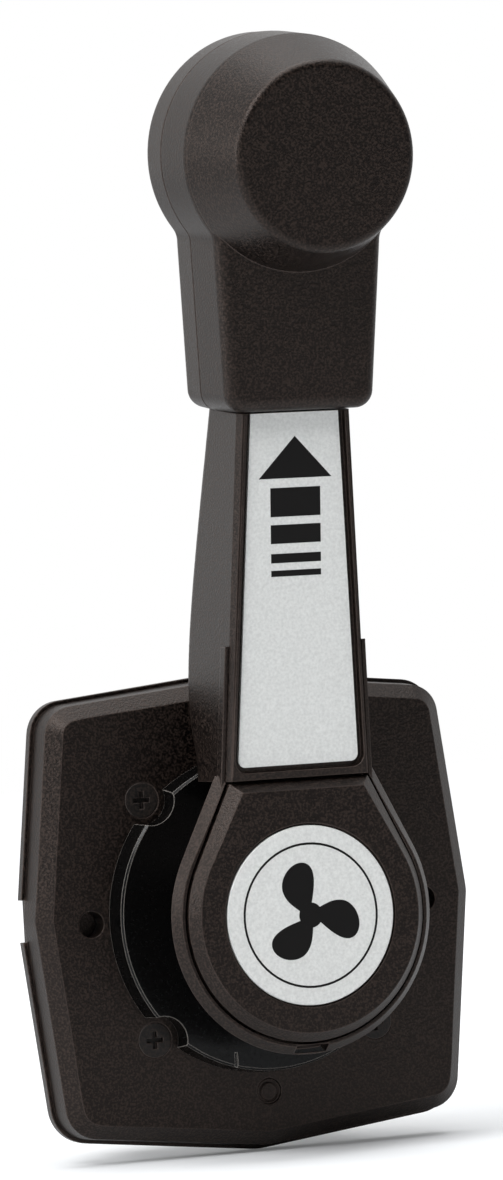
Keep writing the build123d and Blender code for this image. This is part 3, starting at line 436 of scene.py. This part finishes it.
class StudioSettings(bpy.types.PropertyGroup):
    """Floor, lamps and camera."""
    floor: hex_prop("#E4E6E8", "Floor", "Floor colour")
    floor_mottle: hex_prop("#E9ECEF", "Floor mottle", "Paler mottling of the floor")
    floor_lift: hex_prop("#C8C9CA", "Floor lift", "Light added to the far floor for the camera")
    near: FloatProperty(name="Near floor", description="Where the lift of the floor begins",
                        unit="LENGTH", default=-0.2)
    far: FloatProperty(name="Far floor", description="Where the lift of the floor is full",
                       unit="LENGTH", default=1.2, min=0.0)
    left_power: power_prop(5.0, "Left lamp", "Power of the lamp behind on the left")
    top_power: power_prop(12.0, "Top lamp", "Power of the lamp overhead")
    front_power: power_prop(18.0, "Front lamp", "Power of the lamp high in front on the left")
    sky: FloatProperty(name="Sky", description="Level of the even studio light", default=0.7,
                       min=0.0)
    front_share: FloatProperty(name="Front share", description="Share of it from the front",
                               default=0.05, min=0.0, max=1.0)
    distance: FloatProperty(name="Camera distance", description="Camera from its target",
                            unit="LENGTH", default=1.5, min=0.1)
    turn: FloatProperty(name="Camera turn", description="Camera to the left of the front",
                        subtype="ANGLE", default=0.390)
    rise: FloatProperty(name="Camera rise", description="Camera above the level",
                        subtype="ANGLE", default=-0.002)
    roll: FloatProperty(name="Camera roll", description="Tilt of the picture",
                        subtype="ANGLE", default=-0.057)
    lens: FloatProperty(name="Lens", description="Focal length in millimetres", default=184.75,
                        min=1.0)
    target: FloatVectorProperty(name="Camera target", description="Point the camera looks at",
                                subtype="XYZ", unit="LENGTH", precision=5,
                                default=(-0.004283, -0.03, 0.080554))


GROUPS = (("lever_colours", LeverColours), ("lever_grain", GrainSizes), ("lever_sign", SignSizes),
          ("lever_badge", BadgeSizes), ("lever_plug", PlugSizes), ("lever_studio", StudioSettings))


# ---- meshes -----------------------------------------------------------------------------
def add_piece(name, mesh_code, material, body):
    """Turns a bmesh into a piece that rides on a body."""
    mesh = bpy.data.meshes.new(name)
    bmesh.ops.recalc_face_normals(mesh_code, faces=mesh_code.faces)
    mesh_code.to_mesh(mesh)
    mesh_code.free()
    piece = bpy.data.objects.new(name, mesh)
    bpy.context.scene.collection.objects.link(piece)
    mesh.materials.append(material)
    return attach(piece, body)


def print_film(code, outline, place, film):
    """Raises a flat printed outline by the film; place turns x, y and height to a point."""
    low = [code.verts.new(place(x, y, 0.0)) for x, y in outline]
    high = [code.verts.new(place(x, y, film)) for x, y in outline]
    code.faces.new(high)
    for i in range(len(outline)):
        j = (i + 1) % len(outline)
        code.faces.new((low[i], low[j], high[j], high[i]))


def blade_outline(sizes, turn):
    """One swept, blunt propeller blade, turned about the badge's centre."""
    root = 0.8 * sizes.boss     # inside the boss, so that no gap shows
    steps = 24
    sides = []
    for side in (1, -1):
        edge = []
        for step in range(steps + 1):
            share = math.sin(math.pi / 2 * step / steps)
            if share < sizes.broadest:
                fill = sizes.root_share + (1 - sizes.root_share) * math.sin(
                    math.pi / 2 * share / sizes.broadest)
            else:
                fill = math.sqrt(1 - ((share - sizes.broadest) / (1 - sizes.broadest)) ** 2)
            sweep = sizes.sweep * share * sizes.blade_half
            edge.append((side * fill * sizes.blade_half + sweep,
                         root + (sizes.blade_reach - root) * share))
        sides.append(edge)
    loop = sides[0] + sides[1][-2::-1]
    c, s = math.cos(turn), math.sin(turn)
    return [(x * c - y * s, x * s + y * c) for x, y in loop]


def circle_points(radius, count=64):
    return [(radius * math.cos(2 * math.pi * i / count), radius * math.sin(2 * math.pi * i / count))
            for i in range(count)]


# ---- operators --------------------------------------------------------------------------
class LEVER_OT_mouldings(bpy.types.Operator):
    """Finish the plastic mouldings"""
    bl_idname = "lever.mouldings"
    bl_label = "Finish mouldings"

    def execute(self, context):
        colours = context.scene.lever_colours
        finish_nodes(ASA_NODES, grained_asa(colours, context.scene.lever_grain))
        finish_nodes(("collar",), polished_nylon(colours))
        finish_nodes(HOUSING_NODES, glass_filled_nylon(colours))
        finish_nodes(ACETAL_NODES, natural_acetal(colours))
        return {"FINISHED"}


class LEVER_OT_metals(bpy.types.Operator):
    """Finish the shafts, gears, screws and cable fittings"""
    bl_idname = "lever.metals"
    bl_label = "Finish metals"

    def execute(self, context):
        colours = context.scene.lever_colours
        finish_nodes(STAINLESS_NODES, turned_stainless(colours))
        finish_nodes(ZINC_NODES, zinc_plated_steel(colours))
        finish_nodes(("frame_screws",), blackened_steel(colours, context.scene.lever_grain))
        finish_nodes(("anchor_barrel",), turned_brass(colours))
        return {"FINISHED"}


class LEVER_OT_foils(bpy.types.Operator):
    """Finish the silver face plate and badge"""
    bl_idname = "lever.foils"
    bl_label = "Finish foils"

    def execute(self, context):
        finish_nodes(FOIL_NODES, satin_foil(context.scene.lever_colours))
        return {"FINISHED"}


class LEVER_OT_direction_sign(bpy.types.Operator):
    """Print the arrow and its bars on the lever's face plate"""
    bl_idname = "lever.direction_sign"
    bl_label = "Print arrow sign"

    def execute(self, context):
        sizes = context.scene.lever_sign
        up = Vector((0, -math.sin(sizes.lean), math.cos(sizes.lean)))
        off = Vector((0, -math.cos(sizes.lean), -math.sin(sizes.lean)))
        foot = Vector((0, -sizes.face_out, sizes.face_up))

        def place(x, y, height):
            return foot + Vector((x, 0, 0)) + up * y + off * height

        half = sizes.bar_half
        outlines = [[(-sizes.barb_half, sizes.barb), (sizes.barb_half, sizes.barb),
                     (0, sizes.tip)]]
        top = sizes.bar_top
        for share, space in BARS:
            low = top - share * sizes.bar_height
            outlines.append([(-half, low), (half, low), (half, top), (-half, top)])
            top = low - space * sizes.bar_height
        code = bmesh.new()
        for outline in outlines:
            print_film(code, outline, place, sizes.film)
        add_piece("direction_sign", code, screen_ink(context.scene.lever_colours), "lever")
        return {"FINISHED"}


class LEVER_OT_badge_sign(bpy.types.Operator):
    """Print a plain propeller and ring on the badge"""
    bl_idname = "lever.badge_sign"
    bl_label = "Print badge sign"

    def execute(self, context):
        sizes = context.scene.lever_badge
        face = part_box("badge_disc")[0].y

        def place(x, y, height):
            return Vector((x, face - height, y))

        code = bmesh.new()
        for blade in range(sizes.blades):
            turn = sizes.first_turn + 2 * math.pi * blade / sizes.blades
            print_film(code, blade_outline(sizes, turn), place, sizes.film)
        print_film(code, circle_points(sizes.boss), place, sizes.boss_film)
        outer = circle_points(sizes.ring + sizes.ring_width / 2)
        inner = circle_points(sizes.ring - sizes.ring_width / 2)
        for i in range(len(outer)):
            j = (i + 1) % len(outer)
            print_film(code, [outer[i], outer[j], inner[j], inner[i]], place, sizes.film)
        add_piece("badge_sign", code, bpy.data.materials["screen_ink"], "lever")
        return {"FINISHED"}


class LEVER_OT_hole_plugs(bpy.types.Operator):
    """Press a plug into the lowest mounting hole and sunk blanks, which also stand in for shade,
    into the others
    """
    bl_idname = "lever.hole_plugs"
    bl_label = "Fit hole plugs"

    def execute(self, context):
        sizes = context.scene.lever_plug
        edge = sizes.edge
        inner = sizes.radius - sizes.rim
        disc = inner - sizes.rim
        face, groove = sizes.face_out, sizes.face_out - sizes.groove
        plug = [(sizes.radius, face - sizes.skirt), (sizes.radius, face - edge),
                (sizes.radius - edge, face), (inner + edge, face), (inner, face - edge),
                (inner, groove), (disc, groove), (disc, face - edge), (disc - edge, face),
                (0.0, face)]
        # The blanks sit sunk in the three other holes so that these show dark instead of open:
        # partly guessed plugs, partly a dark stand-in for the shade behind the holes.
        blank = [(sizes.radius, sizes.blank_out - sizes.skirt), (sizes.radius, sizes.blank_out),
                 (0.0, sizes.blank_out)]
        self.fit("hole_plug", plug, [(0, -sizes.pitch)])
        self.fit("hole_blanks", blank, [(-sizes.pitch, 0), (sizes.pitch, 0), (0, sizes.pitch)])
        return {"FINISHED"}

    def fit(self, name, profile, holes):
        """Spins a profile of radius and out position about each hole."""
        code = bmesh.new()
        for x, z in holes:
            spots = [code.verts.new((x + r, -out, z)) for r, out in profile]
            edges = [code.edges.new(pair) for pair in zip(spots, spots[1:])]
            bmesh.ops.spin(code, geom=edges + spots, cent=(x, 0, z), axis=(0, 1, 0),
                           angle=2 * math.pi, steps=48)
        bmesh.ops.remove_doubles(code, verts=code.verts, dist=0.001 * MM)
        piece = add_piece(name, code, bpy.data.materials["grained_asa"], "base")


class LEVER_OT_studio(bpy.types.Operator):
    """Lay the floor, hang the lamps and set the camera"""
    bl_idname = "lever.studio"
    bl_label = "Set up studio"

    def execute(self, context):
        scene = context.scene
        settings = scene.lever_studio
        self.add_floor(settings)
        for name, power, width, place in LAMPS:
            self.add_lamp(name, getattr(settings, power), width, place)
        self.light_world(scene, settings)
        self.add_camera(scene, settings)
        scene.view_settings.view_transform = "Standard"
        return {"FINISHED"}

    def add_floor(self, settings):
        # Matt white paper: faint mottling only.
        material, tree, shader = new_material("floor_paper")
        mottle = ranged(tree, grain_of(tree, 20 * MM, detail=4.0), low=0.0, high=0.06)
        tree.links.new(blended(tree, mottle, settings.floor, settings.floor_mottle),
                       shader.inputs["Base Color"])
        shader.inputs["Roughness"].default_value = 0.9
        # Away from the lever, where the lamps fall off, the camera sees the paper lifted to white.
        rays = add_node(tree, "ShaderNodeLightPath")
        spot = add_node(tree, "ShaderNodeTexCoord")
        reach = add_node(tree, "ShaderNodeVectorMath", {0: spot.outputs["Object"]},
                         operation="LENGTH")
        far = ranged(tree, reach.outputs["Value"], 0.0, 1.0, settings.near, settings.far)
        lift = multiplied(tree, rays.outputs["Is Camera Ray"], far)
        tree.links.new(lift, shader.inputs["Emission Strength"])
        shader.inputs["Emission Color"].default_value = settings.floor_lift
        code = bmesh.new()
        low = CAD_LOW.z - 0.2 * MM      # just clear of the lowest edge
        half = 3.0
        corners = ((-half, -half), (half, -half), (half, half), (-half, half))
        code.faces.new([code.verts.new((x, y, low)) for x, y in corners])
        mesh = bpy.data.meshes.new("floor")
        code.to_mesh(mesh)
        code.free()
        floor = bpy.data.objects.new("floor", mesh)
        bpy.context.scene.collection.objects.link(floor)
        mesh.materials.append(material)

    def add_lamp(self, name, power, width, place):
        """Hangs a round lamp that faces the lever."""
        lamp = bpy.data.lights.new(name, "AREA")
        lamp.shape = "DISK"
        lamp.size = width
        lamp.energy = power
        holder = bpy.data.objects.new(name, lamp)
        bpy.context.scene.collection.objects.link(holder)
        aim = (CAD_LOW + CAD_HIGH) / 2
        holder.location = place
        holder.rotation_euler = (aim - Vector(place)).to_track_quat("-Z", "Y").to_euler()

    def light_world(self, scene, settings):
        world = bpy.data.worlds.new("studio_white")
        scene.world = world
        world.use_nodes = True
        tree = world.node_tree
        tree.nodes.clear()
        # White behind the lever, for the camera and in reflections; dimmer towards the front, as
        # the side of a studio where the camera stands is left dark.
        rays = add_node(tree, "ShaderNodeLightPath")
        world_place = add_node(tree, "ShaderNodeTexCoord")
        way = add_node(tree, "ShaderNodeSeparateXYZ", {0: world_place.outputs["Generated"]})
        dim = ranged(tree, way.outputs["Y"], low=settings.front_share, high=1.0,
                     start=-0.8, end=0.1)
        lit = highest(tree, rays.outputs["Is Glossy Ray"], settings.sky)
        seen = highest(tree, rays.outputs["Is Camera Ray"], rays.outputs["Is Transmission Ray"])
        level = highest(tree, seen, multiplied(tree, lit, dim))
        white = add_node(tree, "ShaderNodeBackground", {"Color": (1, 1, 1, 1),
                                                        "Strength": level})
        add_node(tree, "ShaderNodeOutputWorld", {"Surface": white.outputs[0]})

    def add_camera(self, scene, settings):
        camera = bpy.data.cameras.new("camera")
        camera.lens = settings.lens
        camera.clip_end = 20
        holder = bpy.data.objects.new("camera", camera)
        scene.collection.objects.link(holder)
        turn, rise, roll = settings.turn, settings.rise, settings.roll
        back = Vector((-math.sin(turn) * math.cos(rise), -math.cos(turn) * math.cos(rise),
                       math.sin(rise)))
        level = (-back).cross(Vector((0, 0, 1))).normalized()
        upright = level.cross(-back)
        right = level * math.cos(roll) + upright * math.sin(roll)
        up = upright * math.cos(roll) - level * math.sin(roll)
        spot = Vector(settings.target) + back * settings.distance
        axes = Matrix((right, up, back)).transposed()
        holder.matrix_world = Matrix.Translation(spot) @ axes.to_4x4()
        scene.camera = holder


class LEVER_PT_panel(bpy.types.Panel):
    """Lists the sizes, the colours and the steps"""
    bl_idname = "LEVER_PT_panel"
    bl_label = "Throttle Lever"
    bl_space_type = "VIEW_3D"
    bl_region_type = "UI"
    bl_category = "Throttle Lever"

    def draw(self, context):
        for name, group in GROUPS:
            box = self.layout.box()
            box.label(text=group.__doc__)
            for prop in group.__annotations__:
                box.prop(getattr(context.scene, name), prop)
        for step in STEPS:
            self.layout.operator(step.bl_idname)


STEPS = (LEVER_OT_mouldings, LEVER_OT_metals, LEVER_OT_foils, LEVER_OT_direction_sign,
         LEVER_OT_badge_sign, LEVER_OT_hole_plugs, LEVER_OT_studio)


def register():
    for name, group in GROUPS:
        bpy.utils.register_class(group)
        setattr(bpy.types.Scene, name, PointerProperty(type=group))
    for step in STEPS:
        bpy.utils.register_class(step)
    bpy.utils.register_class(LEVER_PT_panel)


def unregister():
    bpy.utils.unregister_class(LEVER_PT_panel)
    for step in reversed(STEPS):
        bpy.utils.unregister_class(step)
    for name, group in reversed(GROUPS):
        delattr(bpy.types.Scene, name)
        bpy.utils.unregister_class(group)


def main():
    register()
    bpy.ops.lever.mouldings()
    bpy.ops.lever.metals()
    bpy.ops.lever.foils()
    bpy.ops.lever.direction_sign()
    bpy.ops.lever.badge_sign()
    bpy.ops.lever.hole_plugs()
    bpy.ops.lever.studio()


if __name__ == "__main__":
    main()
